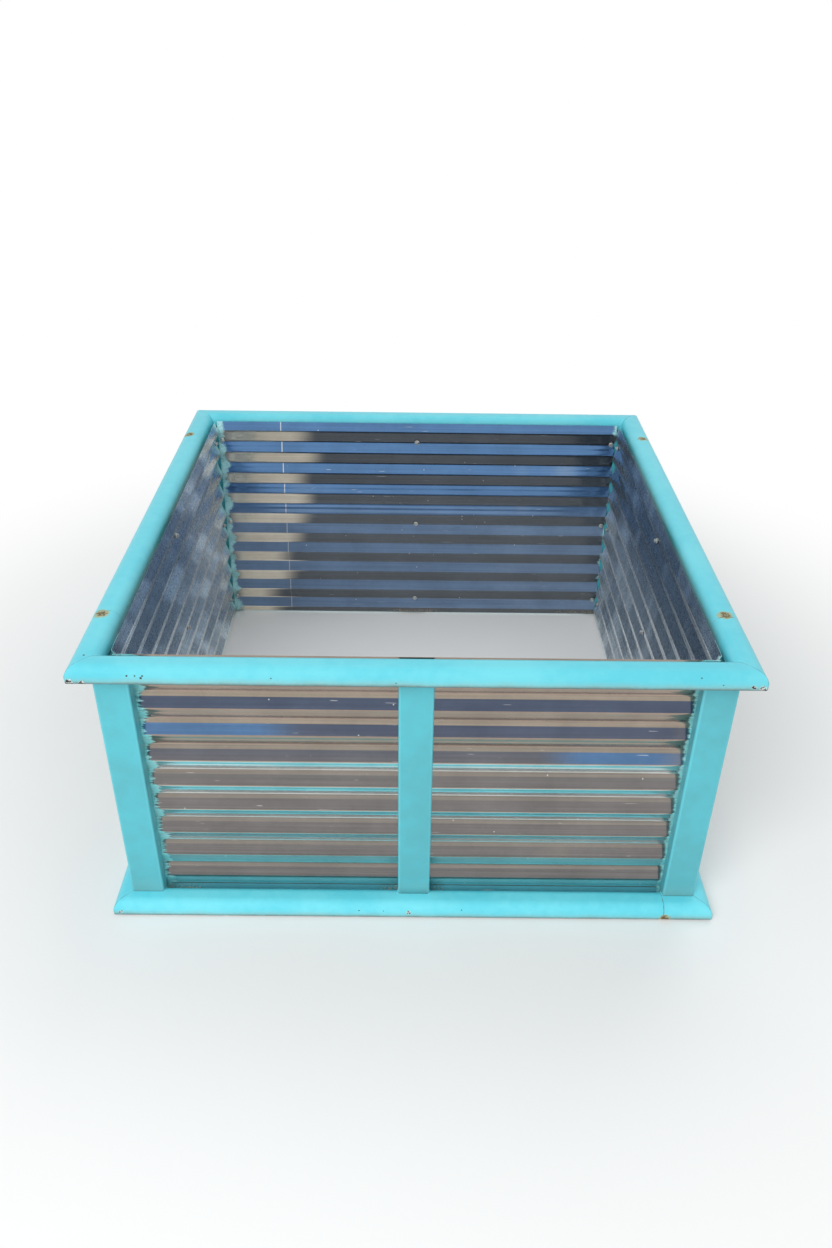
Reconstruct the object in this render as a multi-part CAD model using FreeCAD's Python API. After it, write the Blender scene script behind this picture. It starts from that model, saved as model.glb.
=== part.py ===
"""Square raised garden bed: a welded steel frame lined with four corrugated sheets.

Millimetres, +Z up, origin on the ground at the middle of the bed.
Every side is drawn once as the front side, which faces -Y, and is then turned about Z to its place.
Depths are counted inwards from the outer edge of the rails.
"""
import FreeCAD, Part
import math
import os

# ---- driving dimensions of the bed ----
rail_frame_side = 1320.0      # outer edge to outer edge of the mitred rail squares
bed_height = 672.0            # ground to the crown of the top rail

# ---- rail: a tube with a flat underside and a rounded crown ----
rail_width = 58.0
rail_height = 38.0
rail_crown_radius = 22.0      # the two upper corners
rail_foot_radius = 6.0        # the two lower corners
rail_wall = 2.5
side_splice_from_end = 200.0  # butt welds in the two side top rails
front_splice_from_end = 108.0 # butt weld in the front bottom rail, near its right end

# ---- posts: flat rectangular tube, wide face outwards ----
post_setback = 36.0           # outer face of a post behind the outer edge of the rails
post_width = 70.0
post_depth = 30.0
post_wall = 3.0
post_corner_radius = 5.0

# ---- corrugated sheet ----
sheet_pitch = 67.7
sheet_depth = 12.0            # crest to crest, thickness included
sheet_bend_radius = 12.0      # of the bends at the crests, to the middle of the sheet; the flanks are straight
sheet_thickness = 0.8
sheet_ground_gap = 5.0        # under the lower edge of a sheet
sheet_crown_clearance = 6.0   # least drop from the crown of the top rail to the highest crest of a sheet
sheet_top_trim = 7.0          # the upper edge is cut square this far down its first flank
sheet_end_past_post = 8.0     # the front and back sheets end this far in from the side posts
sheet_corner_gap = 5.0        # end of a side sheet to the crests of the front and back sheets

# ---- screws with sealing washers ----
screw_row_spare = 3           # least quarter waves between the lowest screws and the sheet's lower edge
screw_from_sheet_end = 10.0
screw_diameter = 4.8
screw_length = 25.0           # under the head, point included
screw_point_length = 6.0
screw_point_tip = 1.0         # diameter left at the very tip
screw_flange_diameter = 11.0
screw_flange_height = 1.0
screw_head_across_flats = 8.0
screw_head_height = 4.5
washer_diameter = 14.0
washer_height = 3.2
washer_bore_clearance = 0.4   # on the diameter, over the screw
sheet_hole_clearance = 1.2    # on the diameter, over the screw
post_hole_clearance = 0.2     # on the diameter, over the screw

# ---- worked out from the above ----
half_side = rail_frame_side / 2.0
top_rail_base = bed_height - rail_height
post_foot = rail_height - rail_crown_radius
sheet_face = post_setback + post_depth
sheet_crest = sheet_face + sheet_depth
# as many whole quarter waves as fit under the crown: 39 of them, with the trimmed start counted in
sheet_quarter_waves = int((bed_height - sheet_ground_gap - sheet_crown_clearance) / (sheet_pitch / 4.0))
sheet_height = sheet_quarter_waves * sheet_pitch / 4.0
sheet_top = sheet_ground_gap + sheet_height
# the sheet lies on the posts at every fourth quarter wave: screws in the first, the middle and the last
highest_row = 4
lowest_row = (sheet_quarter_waves - screw_row_spare) // 4 * 4
screw_rows = (highest_row, (highest_row + lowest_row) // 8 * 4, lowest_row)   # quarter waves down from the top

up = FreeCAD.Vector(0, 0, 1)
inwards = FreeCAD.Vector(0, 1, 0)
outwards = FreeCAD.Vector(0, -1, 0)

# each side of the bed with its turn about Z from the front side
side_turns = {"front": 0.0, "right": 90.0, "back": 180.0, "left": 270.0}
# what lies towards +X and -X of a side when it is drawn as the front side
side_ends = {
    "front": ("right", "left"),
    "right": ("back", "front"),
    "back": ("left", "right"),
    "left": ("front", "back"),
}
covering_sides = ("front", "back")   # their end posts and sheets run past the ends of the others


def turned(shape, side):
    """A copy of a front-side shape, turned to its own side of the bed."""
    copy = shape.copy()
    copy.rotate(FreeCAD.Vector(0, 0, 0), up, side_turns[side])
    return copy


def save(node, shape):
    shape.exportStep("parts/" + node + ".step")
    print(node, len(shape.Solids), "solid(s), volume", round(shape.Volume))


# ---------------------------------------------------------------- rails

def crown_outline(inset):
    """Closed outline of a rail's section, in the YZ plane with its outer edge at y = 0."""
    low = inset
    high = rail_height - inset
    near = inset
    far = rail_width - inset
    crown = rail_crown_radius - inset
    foot = max(rail_foot_radius - inset, 0.5)

    def point(y, z):
        return FreeCAD.Vector(0, y, z)

    def corner(y, z, radius, start):
        """Quarter arc about (y, z) that begins at the angle start, in degrees."""
        angles = [math.radians(start + step) for step in (0, 45, 90)]
        return Part.Arc(*[point(y + radius * math.cos(a), z + radius * math.sin(a)) for a in angles])

    arcs = [
        corner(far - foot, low + foot, foot, 270),
        corner(far - crown, high - crown, crown, 0),
        corner(near + crown, high - crown, crown, 90),
        corner(near + foot, low + foot, foot, 180),
    ]
    edges = []
    for index, arc in enumerate(arcs):
        following = arcs[(index + 1) % len(arcs)]
        edges.append(arc.toShape())
        if (arc.EndPoint - following.StartPoint).Length > 1e-6:
            edges.append(Part.LineSegment(arc.EndPoint, following.StartPoint).toShape())
    return Part.Wire(edges)


def rail_envelope(base):
    """The outside of a front rail as a solid bar, longer than the rail."""
    face = Part.Face(crown_outline(0.0))
    bar = face.extrude(FreeCAD.Vector(2 * rail_frame_side, 0, 0))
    bar.translate(FreeCAD.Vector(-rail_frame_side, -half_side, base))
    return bar


def mitred_rail(base):
    """The whole front rail: a hollow tube with both ends cut at 45 degrees."""
    bore = Part.Face(crown_outline(rail_wall)).extrude(FreeCAD.Vector(2 * rail_frame_side, 0, 0))
    bore.translate(FreeCAD.Vector(-rail_frame_side, -half_side, base))
    tube = rail_envelope(base).cut(bore)
    inner_half = half_side - rail_width
    corners = [
        FreeCAD.Vector(-half_side, -half_side, base),
        FreeCAD.Vector(half_side, -half_side, base),
        FreeCAD.Vector(inner_half, -inner_half, base),
        FreeCAD.Vector(-inner_half, -inner_half, base),
    ]
    plan = Part.Face(Part.makePolygon(corners + corners[:1]))
    return tube.common(plan.extrude(FreeCAD.Vector(0, 0, rail_height)))


def length_of_rail(rail, start, end):
    """The stretch of a front rail between two places along X."""
    block = Part.makeBox(end - start, rail_width, bed_height, FreeCAD.Vector(start, -half_side, 0))
    return rail.common(block)


def make_rails():
    top = mitred_rail(top_rail_base)
    bottom = mitred_rail(0.0)
    for side in ("front", "back"):
        save("top_rail_" + side, turned(top, side))
    splice = half_side - side_splice_from_end
    for side in ("left", "right"):
        end_name, start_name = side_ends[side]
        stretches = {
            start_name: (-half_side, -splice),
            "middle": (-splice, splice),
            end_name: (splice, half_side),
        }
        for name, (start, end) in stretches.items():
            save("top_rail_" + side + "_" + name, turned(length_of_rail(top, start, end), side))
    for side in ("right", "back", "left"):
        save("bottom_rail_" + side, turned(bottom, side))
    joint = half_side - front_splice_from_end
    save("bottom_rail_front_long", length_of_rail(bottom, -half_side, joint))
    save("bottom_rail_front_short", length_of_rail(bottom, joint, half_side))


# ---------------------------------------------------------------- posts

def post_centres(side):
    """X of the three posts of a side, drawn as the front side."""
    if side in covering_sides:
        end = half_side - post_setback - post_width / 2.0
    else:
        end = half_side - sheet_face - post_width / 2.0
    return (end, 0.0, -end)


def rounded_bar(width, depth, radius, height):
    """Upright bar with rounded edges, centred on X, its outer face at y = 0."""
    bar = Part.makeBox(width, depth, height, FreeCAD.Vector(-width / 2.0, 0, 0))
    upright = [edge for edge in bar.Edges if abs(edge.tangentAt(edge.FirstParameter).z) > 0.9]
    return bar.makeFillet(radius, upright)


def plain_post():
    """Post tube at the middle of the front, before its foot is notched."""
    height = top_rail_base - post_foot
    tube = rounded_bar(post_width, post_depth, post_corner_radius, height)
    bore_radius = max(post_corner_radius - post_wall, 0.5)
    bore = rounded_bar(post_width - 2 * post_wall, post_depth - 2 * post_wall, bore_radius, height)
    bore.translate(FreeCAD.Vector(0, post_wall, 0))
    tube = tube.cut(bore)
    tube.translate(FreeCAD.Vector(0, -half_side + post_setback, post_foot))
    return tube


def bottom_crowns():
    """The bottom rails that a post of the front side may stand on."""
    bar = rail_envelope(0.0)
    return Part.makeCompound([bar, turned(bar, "right"), turned(bar, "left")])


def make_posts():
    """Each post reaches down past the crown of the bottom rails and is notched over them."""
    post = plain_post()
    crowns = bottom_crowns()
    for side in side_turns:
        end_name, start_name = side_ends[side]
        holes = drills(side, screw_diameter + post_hole_clearance, -half_side + sheet_face - 2 * post_wall)
        for name, x in zip((end_name, "middle", start_name), post_centres(side)):
            placed = post.copy()
            placed.translate(FreeCAD.Vector(x, 0, 0))
            save(side + "_post_" + name, turned(placed.cut(crowns).cut(holes), side))


# ---------------------------------------------------------------- corrugated sheets

def flank_angle():
    """Slope of the straight flanks, which the pitch, the depth and the bend radius fix."""
    centre_depth = sheet_depth - sheet_thickness
    spread = 4.0 * sheet_bend_radius - centre_depth
    root = math.sqrt(sheet_pitch ** 2 - 4.0 * centre_depth * spread)
    return 2.0 * math.atan((sheet_pitch - root) / (2.0 * spread))


def wave_points(apex_quarter, offset):
    """Start, middle and end of one bend, offset inwards from the sheet's middle line.

    Quarters are counted down from the highest crest. Even apexes 0, 4, 8 lie against the posts,
    and 2, 6, 10 stand out into the bed.
    """
    outer_apex = -half_side + sheet_face + sheet_thickness / 2.0
    if apex_quarter % 4 == 0:
        centre_y = outer_apex + sheet_bend_radius
        sign = -1.0
        reach = sheet_bend_radius - offset
    else:
        centre_y = outer_apex + sheet_depth - sheet_thickness - sheet_bend_radius
        sign = 1.0
        reach = sheet_bend_radius + offset
    centre_z = sheet_top - apex_quarter * sheet_pitch / 4.0
    start = flank_angle() if apex_quarter > 0 else 0.0
    end = -flank_angle() if apex_quarter < sheet_quarter_waves else 0.0
    return [FreeCAD.Vector(0, centre_y + sign * reach * math.cos(a), centre_z + reach * math.sin(a))
            for a in (start, (start + end) / 2.0, end)]


def wave_edges(offset):
    """Bends and straight flanks from the top edge down, and the two ends of the line."""
    edges = []
    previous = None
    for apex_quarter in range(0, sheet_quarter_waves + 1, 2):
        start, middle, end = wave_points(apex_quarter, offset)
        if previous is not None:
            edges.append(Part.LineSegment(previous, start).toShape())
        else:
            first = start
        edges.append(Part.Arc(start, middle, end).toShape())
        previous = end
    if sheet_quarter_waves % 2 == 1:
        # the lower edge is cut square across the middle of a flank
        following = wave_points(sheet_quarter_waves + 1, offset)[0]
        middle = (previous + following) / 2.0
        edges.append(Part.LineSegment(previous, middle).toShape())
        previous = middle
    return edges, first, previous


def wave_face(inner_offset, outer_offset):
    """Section of a sheet between two offsets from its middle line."""
    inner, inner_top, inner_foot = wave_edges(inner_offset)
    outer, outer_top, outer_foot = wave_edges(outer_offset)
    ends = [Part.LineSegment(inner_top, outer_top).toShape(), Part.LineSegment(inner_foot, outer_foot).toShape()]
    return Part.Face(Part.Wire(Part.__sortEdges__(inner + outer + ends)))


def sheet_half_length(side):
    if side in covering_sides:
        return half_side - sheet_face - sheet_end_past_post
    return half_side - sheet_crest - sheet_corner_gap


def sheet_bar(side, inner_offset, outer_offset):
    half = sheet_half_length(side)
    bar = wave_face(inner_offset, outer_offset).extrude(FreeCAD.Vector(2 * half, 0, 0))
    bar.translate(FreeCAD.Vector(-half, 0, 0))
    return bar


def make_sheets():
    offcut = Part.makeBox(rail_frame_side, 2.0 * sheet_depth, 2.0 * sheet_top_trim, FreeCAD.Vector(
        -half_side, -half_side + sheet_face - sheet_depth / 2.0, sheet_top - sheet_top_trim))
    for side in side_turns:
        sheet = sheet_bar(side, sheet_thickness / 2.0, -sheet_thickness / 2.0).cut(offcut)
        holes = drills(side, screw_diameter + sheet_hole_clearance, -half_side + sheet_face - sheet_depth)
        save("corrugated_sheet_" + side, turned(sheet.cut(holes), side))


# ---------------------------------------------------------------- screws and washers

def screw_places(side):
    """X and Z of every screw of a side, drawn as the front side."""
    end = sheet_half_length(side) - screw_from_sheet_end
    heights = [sheet_top - quarter * sheet_pitch / 4.0 for quarter in screw_rows]
    return [(x, z) for x in (-end, 0.0, end) for z in heights]


def drills(side, diameter, start):
    """Cylinders that drill every screw hole of a side, from the depth start inwards."""
    reach = -half_side + sheet_crest - start
    pins = []
    for x, z in screw_places(side):
        pins.append(Part.makeCylinder(diameter / 2.0, reach, FreeCAD.Vector(x, start, z), inwards))
    return Part.makeCompound(pins)


def washer_face_y():
    """Inner face of the sealing washers, which the screw heads press on."""
    return -half_side + sheet_face + sheet_thickness + washer_height


def one_washer(x, z):
    """A sealing washer, pressed to the hollow of the corrugation on its outer side."""
    start = -half_side + sheet_face
    length = washer_face_y() - start
    place = FreeCAD.Vector(x, start, z)
    disc = Part.makeCylinder(washer_diameter / 2.0, length, place, inwards)
    bore_radius = (screw_diameter + washer_bore_clearance) / 2.0
    return disc.cut(Part.makeCylinder(bore_radius, length, place, inwards))


def one_screw(x, z):
    """Hexagon-headed screw, driven outwards through the sheet into the post."""
    seat = washer_face_y()
    radius = screw_diameter / 2.0
    shank_length = screw_length - screw_point_length
    shank = Part.makeCylinder(radius, shank_length, FreeCAD.Vector(x, seat, z), outwards)
    point_start = FreeCAD.Vector(x, seat - shank_length, z)
    point = Part.makeCone(radius, screw_point_tip / 2.0, screw_point_length, point_start, outwards)
    flange = Part.makeCylinder(
        screw_flange_diameter / 2.0, screw_flange_height, FreeCAD.Vector(x, seat, z), inwards)
    corner_radius = screw_head_across_flats / math.sqrt(3.0)
    corners = []
    for index in range(7):
        angle = math.radians(60.0 * index)
        corners.append(FreeCAD.Vector(
            x + corner_radius * math.cos(angle), seat + screw_flange_height, z + corner_radius * math.sin(angle)))
    head = Part.Face(Part.makePolygon(corners)).extrude(inwards * screw_head_height)
    return shank.fuse([point, flange, head]).removeSplitter()


def make_fasteners():
    for side in side_turns:
        places = screw_places(side)
        # everything from behind the washers up to the inner skin of the sheet
        pressed_out = sheet_bar(side, sheet_thickness / 2.0, -sheet_depth / 2.0)
        washers = [one_washer(x, z).cut(pressed_out) for x, z in places]
        screws = [one_screw(x, z) for x, z in places]
        save("sealing_washers_" + side, turned(Part.makeCompound(washers), side))
        save("sheet_screws_" + side, turned(Part.makeCompound(screws), side))


os.makedirs("parts", exist_ok=True)
make_rails()
make_posts()
make_sheets()
make_fasteners()
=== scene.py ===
import math

import bpy
from mathutils import Matrix, Vector


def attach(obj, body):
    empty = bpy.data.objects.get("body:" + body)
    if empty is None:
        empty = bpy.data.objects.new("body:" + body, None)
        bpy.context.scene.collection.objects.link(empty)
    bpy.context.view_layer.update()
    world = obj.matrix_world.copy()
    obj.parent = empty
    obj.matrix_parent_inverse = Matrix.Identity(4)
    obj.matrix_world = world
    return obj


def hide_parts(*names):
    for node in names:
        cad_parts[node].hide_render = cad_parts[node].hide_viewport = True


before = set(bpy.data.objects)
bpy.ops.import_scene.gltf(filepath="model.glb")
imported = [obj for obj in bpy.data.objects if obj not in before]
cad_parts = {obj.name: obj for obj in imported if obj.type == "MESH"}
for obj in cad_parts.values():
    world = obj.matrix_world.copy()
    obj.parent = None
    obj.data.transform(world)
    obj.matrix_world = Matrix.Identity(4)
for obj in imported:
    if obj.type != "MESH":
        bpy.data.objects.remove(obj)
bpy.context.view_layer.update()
print("frame loaded:", len(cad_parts), "nodes")

# the bed stands on z = 0, centred on the origin; every side is drawn as the front one (-Y) and turned
bed = {
    "halfSide": 0.660,
    "topRailBase": 0.634,
    "sideTurns": {"front": 0.0, "right": 90.0, "back": 180.0, "left": 270.0},
    # towards -X and +X of the drawn side
    "sideEnds": {"front": ("left", "right"), "right": ("front", "back"),
                 "back": ("right", "left"), "left": ("back", "front")},
    "longSides": ("front", "back"),
}


# small helpers for building node trees

def addNode(tree, kind, inputs=None, **settings):
    node = tree.nodes.new(kind)
    for name, value in settings.items():
        setattr(node, name, value)
    for key, value in (inputs or {}).items():
        setInput(tree, node.inputs[key], value)
    return node


def setInput(tree, socket, value):
    if isinstance(value, bpy.types.NodeSocket):
        tree.links.new(value, socket)
    elif value is not None:
        socket.default_value = value


def treeOf(*values):
    # the node tree of the first socket among the values
    return next(value.id_data for value in values if isinstance(value, bpy.types.NodeSocket))


def calc(operation, *values, clamp=False):
    tree = treeOf(*values)
    node = addNode(tree, "ShaderNodeMath", operation=operation, use_clamp=clamp)
    for index, value in enumerate(values):
        setInput(tree, node.inputs[index], value)
    return node.outputs[0]


def times(first, second):
    return calc("MULTIPLY", first, second)


def plus(first, second):
    return calc("ADD", first, second)


def minus(first, second):
    return calc("SUBTRACT", first, second)


def timesPlus(first, second, added):
    return calc("MULTIPLY_ADD", first, second, added)


def larger(first, second):
    return calc("MAXIMUM", first, second)


def ramp(value, low, high, toLow=0.0, toHigh=1.0, smooth=True):
    # value from low..high becomes toLow..toHigh
    tree = treeOf(value)
    node = addNode(tree, "ShaderNodeMapRange", interpolation_type="SMOOTHSTEP" if smooth else "LINEAR")
    for index, number in enumerate((value, low, high, toLow, toHigh)):
        setInput(tree, node.inputs[index], number)
    return node.outputs[0]


def fadeOut(value, low, high):
    # 1 at low and 0 at high
    return minus(1.0, ramp(value, low, high))


def noise(vector, scale, detail, roughness=None):
    return addNode(treeOf(vector), "ShaderNodeTexNoise", {
        "Vector": vector, "Scale": scale, "Detail": detail, "Roughness": roughness}).outputs[0]


def splitXyz(vector):
    node = addNode(treeOf(vector), "ShaderNodeSeparateXYZ", {0: vector})
    return node.outputs[0], node.outputs[1], node.outputs[2]


def joinXyz(x, y, z):
    return addNode(treeOf(x, y, z), "ShaderNodeCombineXYZ", {0: x, 1: y, 2: z}).outputs[0]


def scaleVector(vector, factor):
    return addNode(treeOf(vector), "ShaderNodeVectorMath", {0: vector, "Scale": factor},
                   operation="SCALE").outputs[0]


def mixColour(factor, first, second):
    return addNode(treeOf(factor), "ShaderNodeMix", {0: factor, 6: first, 7: second},
                   data_type="RGBA").outputs[2]


def mixValue(factor, first, second):
    return addNode(treeOf(factor, first), "ShaderNodeMix", {0: factor, 2: first, 3: second}).outputs[0]


def positionXyz(tree):
    return splitXyz(addNode(tree, "GeometryNodeInputPosition").outputs[0])


socketKinds = {float: "Float", int: "Int", tuple: "Color"}


def newTree(name, kind, inputs, outputs):
    # a group with named sockets: each input has a default value or, as text, the kind of its socket
    tree = bpy.data.node_groups.new(name, kind)
    for label, default in inputs.items():
        socketType = "NodeSocket" + socketKinds.get(type(default), str(default))
        socket = tree.interface.new_socket(label, in_out="INPUT", socket_type=socketType)
        if not isinstance(default, str):
            socket.default_value = default
    for label, socketType in outputs.items():
        tree.interface.new_socket(label, in_out="OUTPUT", socket_type="NodeSocket" + socketType)
    return tree, tree.nodes.new("NodeGroupInput").outputs, tree.nodes.new("NodeGroupOutput")


def geometryTree(name, inputs):
    return newTree(name, "GeometryNodeTree", {"Geometry": "Geometry", **inputs}, {"Geometry": "Geometry"})


def storeValue(geometry, name, value, domain="POINT"):
    return addNode(treeOf(geometry), "GeometryNodeStoreNamedAttribute",
                   {"Geometry": geometry, "Name": name, "Value": value},
                   data_type="FLOAT", domain=domain).outputs[0]


def setPlace(geometry, position=None, offset=None):
    return addNode(treeOf(geometry), "GeometryNodeSetPosition", {
        "Geometry": geometry, "Position": position, "Offset": offset}).outputs[0]


def roundedOutline(tree, width, height, radius, count):
    outline = addNode(tree, "GeometryNodeCurvePrimitiveQuadrilateral",
                      {"Width": width, "Height": height}, mode="RECTANGLE").outputs[0]
    return addNode(tree, "GeometryNodeFilletCurve", {"Curve": outline, "Radius": radius, "Count": count},
                   mode="POLY").outputs[0]


def sweptBar(tree, profile, stations):
    # a bar one unit long on Z, to be bent to its place by its points
    run = addNode(tree, "GeometryNodeCurvePrimitiveLine", {"Start": (0, 0, 0), "End": (0, 0, 1)}).outputs[0]
    run = addNode(tree, "GeometryNodeResampleCurve", {"Curve": run, "Count": stations}).outputs[0]
    return addNode(tree, "GeometryNodeCurveToMesh",
                   {"Curve": run, "Profile Curve": profile, "Fill Caps": True}).outputs[0]


def randomVector(tree, low, high, seed):
    return addNode(tree, "FunctionNodeRandomValue", {"Min": low, "Max": high, "Seed": seed},
                   data_type="FLOAT_VECTOR").outputs[0]


def finishGeometry(tree, geometry, material, leave):
    realized = addNode(tree, "GeometryNodeRealizeInstances", {"Geometry": geometry}).outputs[0]
    painted = addNode(tree, "GeometryNodeSetMaterial",
                      {"Geometry": realized, "Material": material}).outputs[0]
    tree.links.new(painted, leave.inputs[0])


def meshFromTree(name, tree, values, base=None, sharpAngle=40.0):
    # runs the tree once on a throwaway object and keeps the result as a plain mesh
    carrier = bpy.data.objects.new(name + "Carrier", base or bpy.data.meshes.new(name + "Base"))
    bpy.context.scene.collection.objects.link(carrier)
    modifier = carrier.modifiers.new("shape", "NODES")
    modifier.node_group = tree
    identifiers = {item.name: item.identifier for item in tree.interface.items_tree if item.in_out == "INPUT"}
    for label, value in values.items():
        modifier[identifiers[label]] = value
    graph = bpy.context.evaluated_depsgraph_get()
    graph.update()
    mesh = bpy.data.meshes.new_from_object(carrier.evaluated_get(graph), preserve_all_data_layers=True,
                                           depsgraph=graph)
    mesh.name = name
    carrier.modifiers.remove(modifier)
    bpy.data.objects.remove(carrier)
    mesh.shade_smooth()
    mesh.set_sharp_from_angle(angle=math.radians(sharpAngle))
    return mesh


def keepPiece(name, mesh, side, slotName, *nodes):
    # turns the drawn side to its place, in the mesh itself
    mesh.transform(Matrix.Rotation(math.radians(bed["sideTurns"][side]), 4, "Z"))
    piece = bpy.data.objects.new(name, mesh)
    bpy.context.scene.collection.objects.link(piece)
    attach(piece, "root")
    if nodes:
        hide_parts(*nodes)


# shader groups shared by the finishes

def buildPatchyTone():
    # slow drift between two colours, with a finer mottle in it
    tree, given, leave = newTree("patchyTone", "ShaderNodeTree", {
        "Vector": "Vector", "Colour A": (1, 1, 1, 1), "Colour B": (0, 0, 0, 1), "Scale": 4.0,
        "Fine Scale": 60.0, "Fine Share": 0.3},
        {"Colour": "Color", "Mask": "Float"})
    broad = noise(given["Vector"], given["Scale"], 3.0)
    fine = noise(given["Vector"], given["Fine Scale"], 4.0)
    blend = mixValue(given["Fine Share"], broad, fine)
    mask = ramp(blend, 0.36, 0.64)
    colour = mixColour(mask, given["Colour A"], given["Colour B"])
    tree.links.new(colour, leave.inputs[0])
    tree.links.new(mask, leave.inputs[1])
    return tree


def buildChips():
    # ragged flakes where Exposure is high: a bare core and a pale rim of undercoat round it
    tree, given, leave = newTree("paintChips", "ShaderNodeTree", {
        "Vector": "Vector", "Exposure": 0.0, "Scale": 90.0, "Rim": 0.03},
        {"Bare": "Float", "Rim": "Float"})
    broken = noise(given["Vector"], given["Scale"], 6.0, 0.62)
    level = plus(broken, given["Exposure"])
    bare = ramp(level, 0.995, 1.005)
    outer = ramp(plus(level, given["Rim"]), 0.995, 1.005)
    rim = calc("SUBTRACT", outer, bare, clamp=True)
    tree.links.new(bare, leave.inputs[0])
    tree.links.new(rim, leave.inputs[1])
    return tree


def buildSeamLine():
    # a weld line at Distance 0: a thin wandering crack and a soft stain round it
    tree, given, leave = newTree("seamLine", "ShaderNodeTree", {
        "Vector": "Vector", "Distance": 1.0, "Width": 0.0006, "Stain Width": 0.006, "Wander": 0.0015},
        {"Line": "Float", "Stain": "Float"})
    wobble = noise(given["Vector"], 120.0, 3.0)
    shifted = timesPlus(minus(wobble, 0.5), given["Wander"], given["Distance"])
    away = calc("ABSOLUTE", shifted)
    line = fadeOut(away, 0.0, given["Width"])
    blotch = noise(given["Vector"], 55.0, 5.0)
    reach = fadeOut(away, 0.0, given["Stain Width"])
    stain = times(reach, ramp(blotch, 0.38, 0.62))
    tree.links.new(line, leave.inputs[0])
    tree.links.new(stain, leave.inputs[1])
    return tree


def buildDust():
    # a mask that fades up from Height 0 in streaks, gone at Reach: dust that settles low on a face, and
    # painted shade along the rails' lower edges and under the top rail
    tree, given, leave = newTree("settledDustAndShade", "ShaderNodeTree", {
        "Vector": "Vector", "Height": 1.0, "Reach": 0.02, "Streaks": 0.5}, {"Mask": "Float"})
    cloud = noise(given["Vector"], 14.0, 5.0)
    fine = noise(given["Vector"], 160.0, 4.0)
    patch = mixValue(0.35, cloud, fine)
    level = calc("DIVIDE", given["Height"], given["Reach"])
    uneven = timesPlus(minus(0.5, patch), given["Streaks"], level)
    mask = fadeOut(uneven, 0.0, 1.0)
    tree.links.new(mask, leave.inputs[0])
    return tree


def buildPeel():
    # height of sprayed enamel: fine orange peel over a slow wave, with a few grains of dirt under it
    tree, given, leave = newTree("sprayedSkin", "ShaderNodeTree", {
        "Vector": "Vector", "Peel Scale": 420.0, "Nib Scale": 130.0}, {"Height": "Float"})
    peel = noise(given["Vector"], given["Peel Scale"], 2.0)
    wave = noise(given["Vector"], 22.0, 2.0)
    cell = addNode(tree, "ShaderNodeTexVoronoi",
                   {"Vector": given["Vector"], "Scale": given["Nib Scale"]}).outputs[0]
    nib = fadeOut(cell, 0.0, 0.16)
    height = timesPlus(wave, 0.9, times(peel, 0.35))
    height = timesPlus(nib, 0.5, height)
    tree.links.new(height, leave.inputs[0])
    return tree


groups = {
    "patchyTone": buildPatchyTone(),
    "paintChips": buildChips(),
    "seamLine": buildSeamLine(),
    "settledDustAndShade": buildDust(),
    "sprayedSkin": buildPeel(),
}


def placeGroup(tree, name, inputs):
    node = tree.nodes.new("ShaderNodeGroup")
    node.node_tree = groups[name]
    for key, value in inputs.items():
        setInput(tree, node.inputs[key], value)
    return node.outputs


def newMaterial(name):
    material = bpy.data.materials.new(name)
    material.use_nodes = True
    tree = material.node_tree
    shader = tree.nodes["Principled BSDF"]
    place = addNode(tree, "ShaderNodeTexCoord").outputs["Object"]
    return material, tree, shader, place


def patchyTone(tree, place, first, second, scale, fineScale):
    return placeGroup(tree, "patchyTone", {"Vector": place, "Colour A": first, "Colour B": second,
                                           "Scale": scale, "Fine Scale": fineScale})


def dustMask(tree, place, height, reach, streaks):
    return placeGroup(tree, "settledDustAndShade", {"Vector": place, "Height": height, "Reach": reach,
                                            "Streaks": streaks})["Mask"]


def feed(node, inputs):
    for name, value in inputs.items():
        setInput(node.id_data, node.inputs[name], value)


def readValue(tree, name):
    return addNode(tree, "ShaderNodeAttribute", attribute_name=name).outputs["Fac"]


def bumpFrom(height, strength, distance):
    return addNode(treeOf(height), "ShaderNodeBump", {
        "Strength": strength, "Distance": distance, "Height": height}).outputs[0]


# turquoise enamel

enamel = {
    "turquoise": (0.125, 0.670, 0.790, 1.0),
    "paler": (0.185, 0.735, 0.835, 1.0),
    # the posts' enamel is painted darker than the rails' as painted shade
    "postPaintedShade": (0.094, 0.530, 0.612, 1.0),
    "postPaintedDarkerShade": (0.092, 0.450, 0.512, 1.0),
    "topRailShade": 0.90,          # painted shade and light: value of the paint on the top rails (darker) and the bottom ones (lighter)
    "bottomRailLight": 1.06,
    "dust": (0.330, 0.400, 0.330, 1.0),
    "grimeAndShade": (0.055, 0.060, 0.055, 1.0),
    "undercoat": (0.80, 0.80, 0.74, 1.0),
    "bareSteel": (0.035, 0.032, 0.034, 1.0),
    "rust": (0.135, 0.062, 0.022, 1.0),
    "olive": (0.46, 0.40, 0.16, 1.0),
    "roughness": 0.34,
}


def spotMask(tree, place, spots):
    # 1 inside each of the named places, given as x, y, z and radius
    total = None
    for x, y, z, radius in spots:
        away = addNode(tree, "ShaderNodeVectorMath", {0: place, 1: (x, y, z)},
                       operation="DISTANCE").outputs["Value"]
        near = fadeOut(away, radius * 0.35, radius)
        total = near if total is None else larger(total, near)
    return total


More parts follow.
